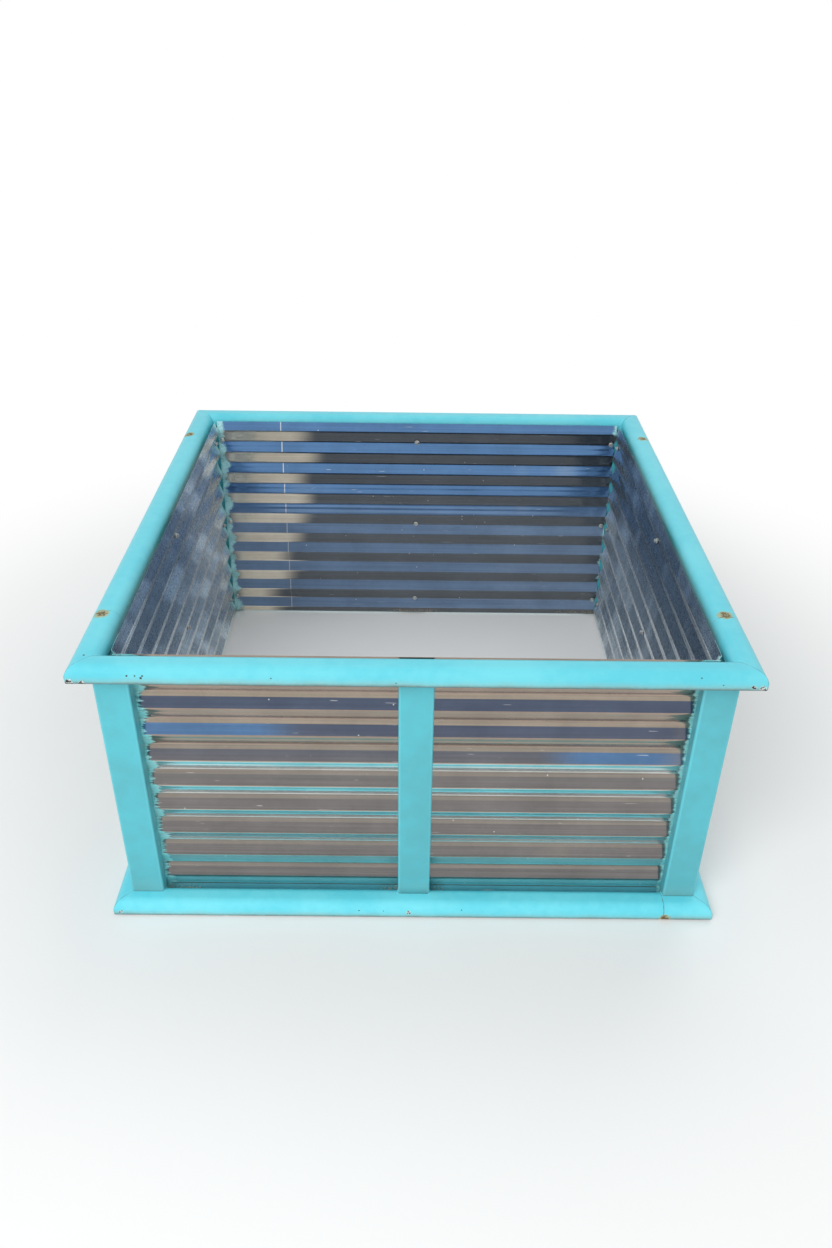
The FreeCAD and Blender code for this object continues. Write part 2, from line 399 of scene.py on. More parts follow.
# where the photograph shows rust, flaked paint and dirt specks on the rails
railWear = {
    "rustSpots": [(-0.637, -0.470, 0.670, 0.021), (-0.640, 0.458, 0.670, 0.019),
                  (0.628, -0.452, 0.670, 0.020), (0.634, 0.463, 0.670, 0.018),
                  (0.556, -0.659, 0.006, 0.017)],
    "flakedEnds": [(-0.652, -0.657, 0.640, 0.016), (-0.628, -0.659, 0.638, 0.012),
                   (0.650, -0.657, 0.641, 0.014), (0.633, -0.659, 0.645, 0.009),
                   (-0.644, -0.659, 0.012, 0.010), (-0.011, -0.660, 0.017, 0.010)],
    "specks": [(-0.542, -0.659, 0.656, 0.0032), (-0.527, -0.659, 0.656, 0.0028),
               (-0.516, -0.660, 0.652, 0.0038), (-0.513, -0.659, 0.656, 0.0028),
               (-0.273, -0.660, 0.654, 0.0024), (-0.039, -0.660, 0.646, 0.0022),
               (0.533, -0.656, 0.662, 0.0024), (0.575, -0.660, 0.649, 0.0026),
               (-0.631, -0.616, 0.672, 0.0034), (-0.120, -0.659, 0.022, 0.0024),
               (-0.066, -0.659, 0.021, 0.0022), (0.106, -0.658, 0.025, 0.0022)],
}


def buildRailPaint():
    material, tree, shader, place = newMaterial("turquoiseRail")
    lift = readValue(tree, "lift")          # height above the rail's underside
    inset = readValue(tree, "inset")        # depth from the rail's outer edge
    tone = patchyTone(tree, place, enamel["turquoise"], enamel["paler"], 5.0, 45.0)
    atTop = ramp(splitXyz(place)[2], 0.1, 0.6)
    # painted light and shade: the bottom rails are painted lighter and the top rails darker
    paint = addNode(tree, "ShaderNodeHueSaturation", {
        "Value": mixValue(atTop, enamel["bottomRailLight"], enamel["topRailShade"]), "Color": tone["Colour"]}).outputs[0]
    outside = fadeOut(inset, 0.008, 0.024)
    dusty = dustMask(tree, place, lift, 0.021, 0.9)
    dust = times(dusty, times(outside, 0.62))
    colour = mixColour(dust, paint, enamel["dust"])
    # painted shade: the lowest centimetre of each rail, which curves under, is darkened
    edge = dustMask(tree, place, lift, 0.0110, 0.6)
    colour = mixColour(times(edge, 0.80), colour, enamel["grimeAndShade"])

    mitre = placeGroup(tree, "seamLine", {"Vector": place, "Distance": readValue(tree, "mitreGap"),
                                          "Width": 0.0009, "Stain Width": 0.008, "Wander": 0.0022})
    splice = placeGroup(tree, "seamLine", {"Vector": place, "Distance": readValue(tree, "spliceGap"),
                                           "Width": 0.0012, "Stain Width": 0.009, "Wander": 0.0030})
    colour = mixColour(times(mitre["Stain"], 0.35), colour, enamel["paler"])
    spots = spotMask(tree, place, railWear["rustSpots"])
    pitted = noise(place, 190.0, 5.0)
    rusty = plus(spots, times(minus(pitted, 0.5), 1.6))
    halo = times(ramp(rusty, 0.10, 0.55), ramp(spots, 0.0, 0.15))
    rusty = times(ramp(rusty, 0.72, 1.05), ramp(spots, 0.0, 0.15))
    gaping = larger(ramp(spots, 0.0, 0.4, 0.30, 0.95), minus(0.9, atTop))
    cracked = times(splice["Line"], gaping)
    colour = mixColour(times(halo, 0.75), colour, enamel["olive"])
    colour = mixColour(larger(cracked, times(rusty, 0.9)), colour, enamel["rust"])
    colour = mixColour(times(mitre["Line"], 0.55), colour, enamel["grimeAndShade"])

    lowEdge = fadeOut(lift, 0.0, 0.006)
    flaked = spotMask(tree, place, railWear["flakedEnds"])
    exposure = plus(times(lowEdge, 0.36), times(flaked, 0.50))
    chips = placeGroup(tree, "paintChips",
                       {"Vector": place, "Exposure": exposure, "Scale": 150.0, "Rim": 0.060})
    specks = plus(spotMask(tree, place, railWear["specks"]), times(minus(pitted, 0.5), 1.4))
    specks = ramp(specks, 0.62, 0.80)
    colour = mixColour(chips["Rim"], colour, enamel["undercoat"])
    colour = mixColour(larger(chips["Bare"], specks), colour, enamel["bareSteel"])

    dull = larger(dust, larger(chips["Bare"], halo))
    rough = mixValue(tone["Mask"], enamel["roughness"], enamel["roughness"] + 0.07)
    skin = placeGroup(tree, "sprayedSkin", {"Vector": place})
    height = timesPlus(mitre["Line"], -2.2, skin["Height"])
    height = timesPlus(splice["Line"], -2.4, height)
    height = timesPlus(halo, 0.8, height)
    height = timesPlus(chips["Bare"], -1.2, height)
    feed(shader, {"Base Color": colour, "Roughness": mixValue(dull, rough, 0.75),
                  "Normal": bumpFrom(height, 0.35, 0.0006)})
    return material


def buildPostPaint():
    material, tree, shader, place = newMaterial("turquoisePost")
    corner = readValue(tree, "corner")      # 1 along the rounded edges of the tube
    above = readValue(tree, "aboveFoot")    # height over the crown it stands on
    below = readValue(tree, "belowTop")     # depth under the top rail
    # painted shade: the posts take a darker turquoise than the rails
    tone = patchyTone(tree, place, enamel["postPaintedShade"], enamel["postPaintedDarkerShade"], 4.0, 30.0)
    # painted highlight: the rounded edges of the tube are painted paler
    colour = mixColour(times(corner, 0.35), tone["Colour"], enamel["paler"])
    dusty = dustMask(tree, place, above, 0.050, 1.0)
    colour = mixColour(times(dusty, 0.30), colour, enamel["dust"])
    # a thin dark line at the post's foot, and painted shade in a thin band under the top rail
    footLine = dustMask(tree, place, above, 0.0035, 0.8)
    topLine = dustMask(tree, place, below, 0.0030, 0.8)
    grimeAndShade = times(larger(footLine, topLine), 0.55)
    colour = mixColour(grimeAndShade, colour, enamel["grimeAndShade"])
    exposure = times(corner, 0.24)
    chips = placeGroup(tree, "paintChips",
                       {"Vector": place, "Exposure": exposure, "Scale": 110.0, "Rim": 0.02})
    colour = mixColour(chips["Rim"], colour, enamel["undercoat"])
    colour = mixColour(chips["Bare"], colour, enamel["bareSteel"])
    rough = mixValue(tone["Mask"], enamel["roughness"] - 0.03, enamel["roughness"] + 0.06)
    skin = placeGroup(tree, "sprayedSkin", {"Vector": place})
    height = timesPlus(chips["Bare"], -1.2, skin["Height"])
    feed(shader, {"Base Color": colour, "Roughness": mixValue(chips["Bare"], rough, 0.7),
                  "Normal": bumpFrom(height, 0.30, 0.0006)})
    return material


def buildBeadPaint():
    # weld beads under the same enamel, rusting in their pits
    material, tree, shader, place = newMaterial("paintedWeld")
    tone = patchyTone(tree, place, enamel["turquoise"], enamel["paler"], 20.0, 160.0)
    pits = noise(place, 210.0, 5.0)
    rusty = ramp(pits, 0.60, 0.68)
    colour = mixColour(times(rusty, 0.7), tone["Colour"], enamel["rust"])
    feed(shader, {"Base Color": colour, "Roughness": mixValue(rusty, 0.42, 0.8),
                  "Normal": bumpFrom(pits, 0.5, 0.0008)})
    return material


# galvanised sheet, screws and washers

zinc = {
    # painted reflections: faces that look up are painted with the open air they mirror, faces that look down
    # with the ground they mirror
    "innerLean": 0.165,            # on the inner side the air begins at this tilt
    "outerAirFrom": 0.29,          # on the outer side it begins this far down a flank
    "outerAir": (0.090, 0.112, 0.165, 1.0),
    "outerClear": (0.105, 0.205, 0.375, 1.0),
    "outerHaze": (0.215, 0.198, 0.185, 1.0),
    "outerGround": (0.345, 0.296, 0.240, 1.0),
    "outerBelow": (0.420, 0.318, 0.262, 1.0),  # on the flanks that look down
    # painted reflection of clear sky: flank of the first sheet, from and to along it
    "clearPatches": [(5.0, -0.62, -0.22), (7.0, 0.26, 0.60)],
    "outerShade": (0.245, 0.228, 0.208, 1.0),
    "innerAir": (0.098, 0.205, 0.390, 1.0),
    "innerHaze": (0.230, 0.330, 0.480, 1.0),
    "innerGround": (0.880, 0.780, 0.640, 1.0),
    "innerShade": (0.125, 0.138, 0.155, 1.0),
    "sidePale": (0.660, 0.780, 0.860, 1.0),
    "sideDeep": (0.330, 0.410, 0.480, 1.0),
    "sideValue": (0.76, 1.16),     # painted shade and light: value of the right sheet (darker) and of the left one (lighter)
    "sideGlint": (0.750, 0.780, 0.800, 1.0),
    "railReflection": (0.760, 0.780, 0.760, 1.0),
    "footTeal": (0.150, 0.600, 0.660, 1.0),    # painted reflection: the lowest flanks are painted with the teal rail, the only thing they mirror
    "footShade": (0.120, 0.430, 0.500, 1.0),
    "overspray": (0.240, 0.780, 0.800, 1.0),
    "oversprayPale": (0.560, 0.860, 0.860, 1.0),
    "whiteRust": (0.78, 0.78, 0.76, 1.0),
    "grit": (0.36, 0.27, 0.16, 1.0),
    "roughness": 0.11,
    "halfPitch": 0.03385,          # from one flank of a rib to the next
}


def buildSheetZinc():
    material, tree, shader, place = newMaterial("galvanisedSheet")
    outer = readValue(tree, "outerSide")      # 1 on the face towards the posts
    slope = readValue(tree, "slope")          # -1 where the face looks down, 1 where it looks up
    toPost = readValue(tree, "toPost")        # distance from the nearest post's edge
    toEnd = readValue(tree, "toEnd")          # distance from the sheet's own cut end
    along = readValue(tree, "along")
    drop = readValue(tree, "drop")            # distance below the sheet's upper edge
    sheetNumber = readValue(tree, "sheetNumber")
    inside = minus(1.0, outer)
    flankCount = calc("DIVIDE", drop, zinc["halfPitch"])
    flank = calc("FLOOR", flankCount)   # number of the flank, counted down
    share = minus(flankCount, flank)
    looksUp = calc("PINGPONG", flank, 1.0)          # of the outer side: every second flank

    # painted reflection: every flank is painted with its own strip of the mirrored surroundings, drawn out
    # along it
    strip = joinXyz(times(along, 1.5), times(flank, 3.71), times(sheetNumber, 5.3))
    first = noise(strip, 1.0, 2.0)
    other = noise(strip, 1.7, 3.0)
    innerAirMask = ramp(minus(slope, zinc["innerLean"]), -0.022, 0.022)
    outerAirMask = times(looksUp, ramp(minus(share, zinc["outerAirFrom"]), -0.02, 0.02))
    air = mixValue(outer, innerAirMask, outerAirMask)

    low = ramp(drop, 0.16, 0.34)
    hazy = larger(times(low, 0.85), ramp(other, 0.41, 0.32))
    outerAir = mixColour(hazy, zinc["outerAir"], zinc["outerHaze"])
    clear = times(ramp(first, 0.56, 0.64), calc("GREATER_THAN", sheetNumber, 0.5))
    for number, start, end in zinc["clearPatches"]:
        patch = times(ramp(along, start - 0.02, start + 0.10), ramp(along, end, end - 0.12))
        patch = times(patch, calc("COMPARE", flank, number, 0.5))
        clear = larger(clear, times(patch, calc("LESS_THAN", sheetNumber, 0.5)))
    outerAir = mixColour(clear, outerAir, zinc["outerClear"])
    outerGround = mixColour(times(low, 0.8), zinc["outerGround"], zinc["outerShade"])
    outerGround = mixColour(looksUp, zinc["outerBelow"], outerGround)
    innerAir = mixColour(larger(ramp(drop, 0.24, 0.36), ramp(other, 0.60, 0.75)),
                         zinc["innerAir"], zinc["innerHaze"])
    # painted reflection: the lit strip of ground that one end of the inner faces mirrors
    litFrom = timesPlus(drop, 0.20, 0.31)
    litFrom = timesPlus(minus(first, 0.5), 0.22, litFrom)
    lit = ramp(minus(along, litFrom), -0.045, 0.04)
    lit = times(lit, ramp(along, 0.588, 0.545))
    innerGround = mixColour(lit, zinc["innerShade"], zinc["innerGround"])
    airColour = mixColour(outer, innerAir, outerAir)
    groundColour = mixColour(outer, innerGround, outerGround)
    colour = mixColour(air, groundColour, airColour)

    # painted reflection: from the fourth rib down, the flanks that look down are painted with the bottom rail
    # they mirror
    railReflection = times(minus(1.0, looksUp), times(ramp(share, 0.04, 0.12), ramp(share, 0.99, 0.93)))
    railReflection = times(times(railReflection, outer), ramp(drop, 0.262, 0.276))
    colour = mixColour(railReflection, colour, zinc["railReflection"])
    painted = times(railReflection, ramp(drop, 0.46, 0.60))
    colour = mixColour(painted, colour, zinc["footTeal"])
    # painted shade and reflection on the lowest flank of the outer face, just above the rail
    foot = times(outer, ramp(drop, 0.6425, 0.6455))
    colour = mixColour(foot, colour, zinc["footShade"])

    # rolling marks run with the ribs; cloudy tarnish and faint crystals lie over them
    rolled = joinXyz(times(along, 1.4), times(drop, 150.0), sheetNumber)
    streak = noise(rolled, 1.6, 4.0)
    flat = joinXyz(along, drop, sheetNumber)
    cloud = noise(flat, 9.0, 4.0)
    crystal = addNode(tree, "ShaderNodeTexVoronoi", {"Vector": place, "Scale": 80.0}).outputs["Color"]
    facet = addNode(tree, "ShaderNodeSeparateColor", {0: crystal}).outputs[0]

    # painted reflection: inside, the two side sheets are painted with the sky they mirror, in pale drifts
    # that lean across the ribs; the left sheet is painted lighter and the right one darker, as painted light
    # and shade
    sideways = times(calc("PINGPONG", sheetNumber, 1.0), inside)
    leaning = joinXyz(timesPlus(drop, 2.2, times(along, 3.0)), times(flank, 0.14), sheetNumber)
    drift = noise(leaning, 2.4, 2.0)
    drift = ramp(drift, 0.46, 0.66)
    drift = mixColour(drift, zinc["sideDeep"], zinc["sidePale"])
    drift = addNode(tree, "ShaderNodeHueSaturation", {
        "Value": ramp(sheetNumber, 1.0, 3.0, *zinc["sideValue"], smooth=False), "Color": drift}).outputs[0]
    # painted glint on the lower flanks of the side sheets that do not look at the air
    glint = times(minus(1.0, air), ramp(drop, 0.12, 0.30))
    colour = mixColour(sideways, colour, mixColour(glint, drift, zinc["sideGlint"]))

    calm = timesPlus(sideways, -0.6, 1.0)
    shade = timesPlus(minus(streak, 0.5), times(calm, 0.55), 1.0)
    shade = timesPlus(minus(cloud, 0.5), times(calm, 0.45), shade)
    shade = timesPlus(minus(facet, 0.5), 0.05, shade)
    colour = addNode(tree, "ShaderNodeHueSaturation", {"Value": shade, "Color": colour}).outputs[0]

    # paint that went past the posts: ragged flares on the outer face, a speckled edge on the inner one
    flare = noise(joinXyz(times(along, 18.0), times(drop, 130.0), sheetNumber), 1.0, 6.0, 0.65)
    spatter = noise(place, 260.0, 3.0)
    facing = ramp(slope, -0.25, 0.15, 1.0, 0.0)
    reach = timesPlus(facing, 0.012, 0.005)
    reach = timesPlus(minus(flare, 0.5), 0.050, reach)
    reach = times(reach, ramp(along, -0.30, 0.30, 1.0, 0.25))
    edge = ramp(minus(reach, toPost), -0.004, 0.004)
    edge = times(times(edge, outer), ramp(calc("ABSOLUTE", along), 0.20, 0.30))
    # inside, one corner took most of it
    smear = noise(joinXyz(times(along, 14.0), times(drop, 24.0), sheetNumber), 1.0, 3.0, 0.5)
    corner = times(along, minus(2.5, sheetNumber))
    corner = times(calc("GREATER_THAN", corner, 0.0), calc("GREATER_THAN", sheetNumber, 1.5))
    innerReach = timesPlus(corner, 0.018, -0.002)
    innerReach = timesPlus(minus(smear, 0.5), 0.065, innerReach)
    inner = times(ramp(minus(innerReach, toEnd), -0.007, 0.006), inside)
    spray = times(larger(edge, inner), ramp(spatter, 0.36, 0.50, 0.55, 0.95))
    # painted light: inside the bed the overspray is painted paler
    palest = larger(ramp(flare, 0.50, 0.66), times(inside, 0.7))
    sprayColour = mixColour(palest, zinc["overspray"], zinc["oversprayPale"])
    colour = mixColour(spray, colour, sprayColour)

    # pale spots of white rust, and grit in the lowest corrugation
    spotCell = addNode(tree, "ShaderNodeTexVoronoi", {"Vector": place, "Scale": 24.0}).outputs[0]
    spots = fadeOut(spotCell, 0.020, 0.050)
    colour = mixColour(times(spots, 0.7), colour, zinc["whiteRust"])
    atFoot = ramp(drop, 0.640, 0.656)
    gritty = times(atFoot, ramp(timesPlus(flare, 0.35, spatter), 0.64, 0.76))
    swept = larger(ramp(along, -0.44, -0.50), ramp(calc("ABSOLUTE", along), 0.09, 0.05))
    gritty = times(gritty, timesPlus(swept, 0.85, 0.15))
    colour = mixColour(times(gritty, 0.7), colour, zinc["grit"])

    # the scribed line down one sheet and a few short scratches
    toScribe = calc("ABSOLUTE", readValue(tree, "toScribe"))
    scribe = fadeOut(toScribe, 0.0008, 0.0020)
    nick = noise(joinXyz(times(along, 14.0), times(drop, 260.0), sheetNumber), 1.0, 2.0)
    scratch = times(ramp(nick, 0.72, 0.75), 0.5)
    scribe = times(times(scribe, inside), ramp(air, 0.0, 1.0, 0.10, 0.70))
    colour = mixColour(larger(scribe, scratch), colour, zinc["whiteRust"])

    covered = larger(spray, larger(gritty, times(spots, 0.6)))
    # deep in the bed and at its foot the sheet is made less metallic, so that the painted reflections there
    # show by diffuse light
    lessMetal = times(times(inside, ramp(drop, 0.10, 0.36)), 0.50)
    lessMetal = larger(lessMetal, times(larger(painted, foot), 0.65))
    bare = calc("SUBTRACT", 0.97, larger(covered, lessMetal), clamp=True)
    rough = timesPlus(streak, 0.10, zinc["roughness"] - 0.04)
    rough = timesPlus(facet, 0.03, rough)
    rough = timesPlus(sideways, 0.14, rough)
    wave = timesPlus(cloud, 0.5, times(streak, 0.05))
    height = timesPlus(spray, 0.20, wave)
    feed(shader, {"Base Color": colour, "Metallic": bare, "Roughness": mixValue(covered, rough, 0.55),
                  "Normal": bumpFrom(height, 0.06, 0.0012)})
    return material


def buildScrewZinc():
    material, tree, shader, place = newMaterial("zincScrew")
    tone = patchyTone(tree, place, (0.70, 0.70, 0.68, 1.0), (0.46, 0.45, 0.42, 1.0), 90.0, 500.0)
    spray = noise(place, 130.0, 3.0)
    sprayed = times(ramp(spray, 0.54, 0.60), 0.55)
    grain = noise(place, 900.0, 2.0)
    feed(shader, {"Base Color": mixColour(sprayed, tone["Colour"], (0.45, 0.72, 0.72, 1.0)),
                  "Metallic": calc("SUBTRACT", 0.9, sprayed, clamp=True),
                  "Roughness": mixValue(tone["Mask"], 0.30, 0.48), "Normal": bumpFrom(grain, 0.2, 0.0003)})
    return material


def buildWasherFinish():
    # dull zinc disc over a dark rubber seal, told apart by the seal attribute
    material, tree, shader, place = newMaterial("sealingWasher")
    seal = readValue(tree, "seal")
    tone = patchyTone(tree, place, (0.82, 0.82, 0.80, 1.0), (0.58, 0.58, 0.56, 1.0), 70.0, 400.0)
    rough = mixValue(seal, mixValue(tone["Mask"], 0.34, 0.50), 0.72)
    grain = noise(place, 700.0, 3.0)
    feed(shader, {"Base Color": mixColour(seal, tone["Colour"], (0.018, 0.018, 0.020, 1.0)),
                  "Metallic": calc("SUBTRACT", 0.9, seal, clamp=True), "Roughness": rough,
                  "Normal": bumpFrom(grain, 0.25, 0.0003)})
    return material


finishes = {
    "rail": buildRailPaint(),
    "post": buildPostPaint(),
    "weld": buildBeadPaint(),
    "sheet": buildSheetZinc(),
    "screw": buildScrewZinc(),
    "washer": buildWasherFinish(),
}
print("finishes built:", len(finishes))


# rails: a tube with a rounded crown, mitred or butt-cut at its ends

rail = {
    "width": 0.058,
    "height": 0.038,
    "crownRadius": 0.022,
    "footRadius": 0.006,
    "arcSteps": 14,
    "stations": 60,
    "sideSpliceFromEnd": 0.200,
    "frontSpliceFromEnd": 0.108,
}


def buildRailTree():
    tree, given, leave = geometryTree("railShape", {
        "Half Side": bed["halfSide"], "Base": 0.0, "Width": rail["width"], "Height": rail["height"],
        "Crown Radius": rail["crownRadius"], "Foot Radius": rail["footRadius"],
        "Arc Steps": rail["arcSteps"], "Stations": rail["stations"], "Start": -bed["halfSide"],
        "End": bed["halfSide"], "Start Mitre": 1.0, "End Mitre": 1.0, "Finish": "Material"})
    index = addNode(tree, "GeometryNodeInputIndex").outputs[0]
    upper = calc("LESS_THAN", index, 1.5)          # the rectangle's first two corners are its upper ones
    radius = mixValue(upper, given["Foot Radius"], given["Crown Radius"])
    profile = roundedOutline(tree, given["Width"], given["Height"], radius, given["Arc Steps"])
    bar = sweptBar(tree, profile, given["Stations"])
    across, tall, share = positionXyz(tree)
    inset = timesPlus(given["Width"], 0.5, across)
    lift = timesPlus(given["Height"], 0.5, tall)
    first = timesPlus(inset, given["Start Mitre"], given["Start"])
    last = minus(given["End"], times(inset, given["End Mitre"]))
    along = mixValue(share, first, last)
    # what the finish needs to know, kept as attributes before the bar is laid in place
    diagonal = math.sqrt(0.5)
    fromStart = minus(along, first)
    fromEnd = minus(last, along)
    far = 1.0
    mitreGap = calc("MINIMUM",
                    mixValue(given["Start Mitre"], far, times(fromStart, diagonal)),
                    mixValue(given["End Mitre"], far, times(fromEnd, diagonal)))
    spliceGap = calc("MINIMUM", mixValue(given["Start Mitre"], fromStart, far),
                     mixValue(given["End Mitre"], fromEnd, far))
    shape = storeValue(bar, "inset", inset)
    shape = storeValue(shape, "lift", lift)
    shape = storeValue(shape, "mitreGap", mitreGap)
    shape = storeValue(shape, "spliceGap", spliceGap)
    spot = joinXyz(along, minus(inset, given["Half Side"]), plus(lift, given["Base"]))
    shape = setPlace(shape, spot)
    finishGeometry(tree, shape, given["Finish"], leave)
    return tree


def makeRails():
    tree = buildRailTree()
    half = bed["halfSide"]
    splice = half - rail["sideSpliceFromEnd"]
    frontSplice = half - rail["frontSpliceFromEnd"]
    whole = (-half, half, 1.0, 1.0)
    pieces = [("top_rail_" + side, side, bed["topRailBase"], whole) for side in bed["longSides"]]
    for side in ("left", "right"):
        first, last = bed["sideEnds"][side]
        pieces += [("top_rail_%s_%s" % (side, first), side, bed["topRailBase"], (-half, -splice, 1.0, 0.0)),
                   ("top_rail_%s_middle" % side, side, bed["topRailBase"], (-splice, splice, 0.0, 0.0)),
                   ("top_rail_%s_%s" % (side, last), side, bed["topRailBase"], (splice, half, 0.0, 1.0))]
    pieces += [("bottom_rail_" + side, side, 0.0, whole) for side in ("right", "back", "left")]
    pieces += [("bottom_rail_front_long", "front", 0.0, (-half, frontSplice, 1.0, 0.0)),
               ("bottom_rail_front_short", "front", 0.0, (frontSplice, half, 0.0, 1.0))]
    for node, side, base, (start, end, startMitre, endMitre) in pieces:
        mesh = meshFromTree("painted_" + node, tree, {
            "Base": base, "Start": start, "End": end, "Start Mitre": startMitre, "End Mitre": endMitre,
            "Finish": finishes["rail"]})
        keepPiece("painted_" + node, mesh, side, "turquoise_paint", node)
    print("rails:", len(pieces))


# posts: flat tubes under the top rail, notched over the crown of the bottom rails

post = {
    "width": 0.070,
    "depth": 0.030,
    "cornerRadius": 0.005,
    "cornerSteps": 8,
    "setback": 0.036,
    "outlineStep": 0.0016,
    "stations": 24,
}


def postCentre(side):
    behind = post["setback"] if side in bed["longSides"] else post["setback"] + post["depth"]
    return bed["halfSide"] - behind - post["width"] / 2


def crownHeight(inset, given):
    # how high the bottom rail's outside stands at a depth from its outer edge
    lowSide = minus(given["Crown Radius"], inset)
    farSide = minus(inset, minus(given["Rail Width"], given["Crown Radius"]))
    off = larger(larger(lowSide, farSide), 0.0)
    rise = minus(calc("POWER", given["Crown Radius"], 2.0), calc("POWER", off, 2.0))
    return plus(calc("SQRT", larger(rise, 0.0)),
                minus(given["Rail Height"], given["Crown Radius"]))


def buildPostTree():
    tree, given, leave = geometryTree("postShape", {
        "Half Side": bed["halfSide"], "Top": bed["topRailBase"], "Width": post["width"],
        "Depth": post["depth"], "Corner Radius": post["cornerRadius"], "Setback": post["setback"],
        "Centre": 0.0, "Outline Step": post["outlineStep"], "Stations": post["stations"],
        "Rail Width": rail["width"], "Rail Height": rail["height"], "Crown Radius": rail["crownRadius"],
        "Finish": "Material"})
    profile = roundedOutline(tree, given["Width"], given["Depth"], given["Corner Radius"],
                             post["cornerSteps"])
    profile = addNode(tree, "GeometryNodeResampleCurve", {"Curve": profile, "Length": given["Outline Step"]},
                      mode="LENGTH").outputs[0]
    bar = sweptBar(tree, profile, given["Stations"])
    across, deep, share = positionXyz(tree)
    x = plus(across, given["Centre"])
    inset = plus(timesPlus(given["Depth"], 0.5, deep), given["Setback"])
    sideInset = minus(given["Half Side"], calc("ABSOLUTE", x))
    foot = larger(crownHeight(inset, given), crownHeight(sideInset, given))
    z = mixValue(share, foot, given["Top"])
    flatHalf = minus(times(given["Width"], 0.5), given["Corner Radius"])
    deepHalf = minus(times(given["Depth"], 0.5), given["Corner Radius"])
    corner = times(ramp(minus(calc("ABSOLUTE", across), flatHalf), -0.0005, 0.002),
                   ramp(minus(calc("ABSOLUTE", deep), deepHalf), -0.0005, 0.002))
    shape = storeValue(bar, "corner", corner)
    shape = storeValue(shape, "aboveFoot", minus(z, foot))
    shape = storeValue(shape, "belowTop", minus(given["Top"], z))
    spot = joinXyz(x, minus(inset, given["Half Side"]), z)
    shape = setPlace(shape, spot)
    finishGeometry(tree, shape, given["Finish"], leave)
    return tree


def makePosts():
    tree = buildPostTree()
    for side in bed["sideTurns"]:
        first, last = bed["sideEnds"][side]
        for name, share in ((first, -1), ("middle", 0), (last, 1)):
            node = side + "_post_" + name
            mesh = meshFromTree("painted_" + node, tree, {"Centre": share * postCentre(side),
                                                          "Finish": finishes["post"]}, sharpAngle=55.0)
            keepPiece("painted_" + node, mesh, side, "turquoise_paint", node)
    print("posts: 12")


# corrugated sheets: level ribs, screwed behind the posts

sheet = {
    "pitch": 0.0677,
    "quarterWaves": 39,
    "depth": 0.0120,
    "bendRadius": 0.0120,          # at the crests; the flanks between them are straight
    "thickness": 0.0008,
    "groundGap": 0.005,
    "topTrim": 0.007,              # the upper edge is cut this far down its first flank
    "endPastPost": 0.008,
    "cornerGap": 0.005,
    "stepsPerQuarter": 7,
    "columns": 90,
    "dent": 0.0005,
    "mergeDistance": 0.00003,
    "noScribe": 9.0,               # far off the sheet
    "scribeFrom": {"back": 0.400},  # a scribed line down the sheet, this far along it
}


def sheetHalf(side):
    face = post["setback"] + post["depth"]
    if side in bed["longSides"]:
        return bed["halfSide"] - face - sheet["endPastPost"]
    return bed["halfSide"] - face - sheet["depth"] - sheet["cornerGap"]


def sheetTop():
    return sheet["groundGap"] + sheet["quarterWaves"] * sheet["pitch"] / 4


def sheetRows():
    return sheet["quarterWaves"] * sheet["stepsPerQuarter"] + 1


def postBack():
    # the inner face of the posts, on which the sheet lies
    return -bed["halfSide"] + post["setback"] + post["depth"]


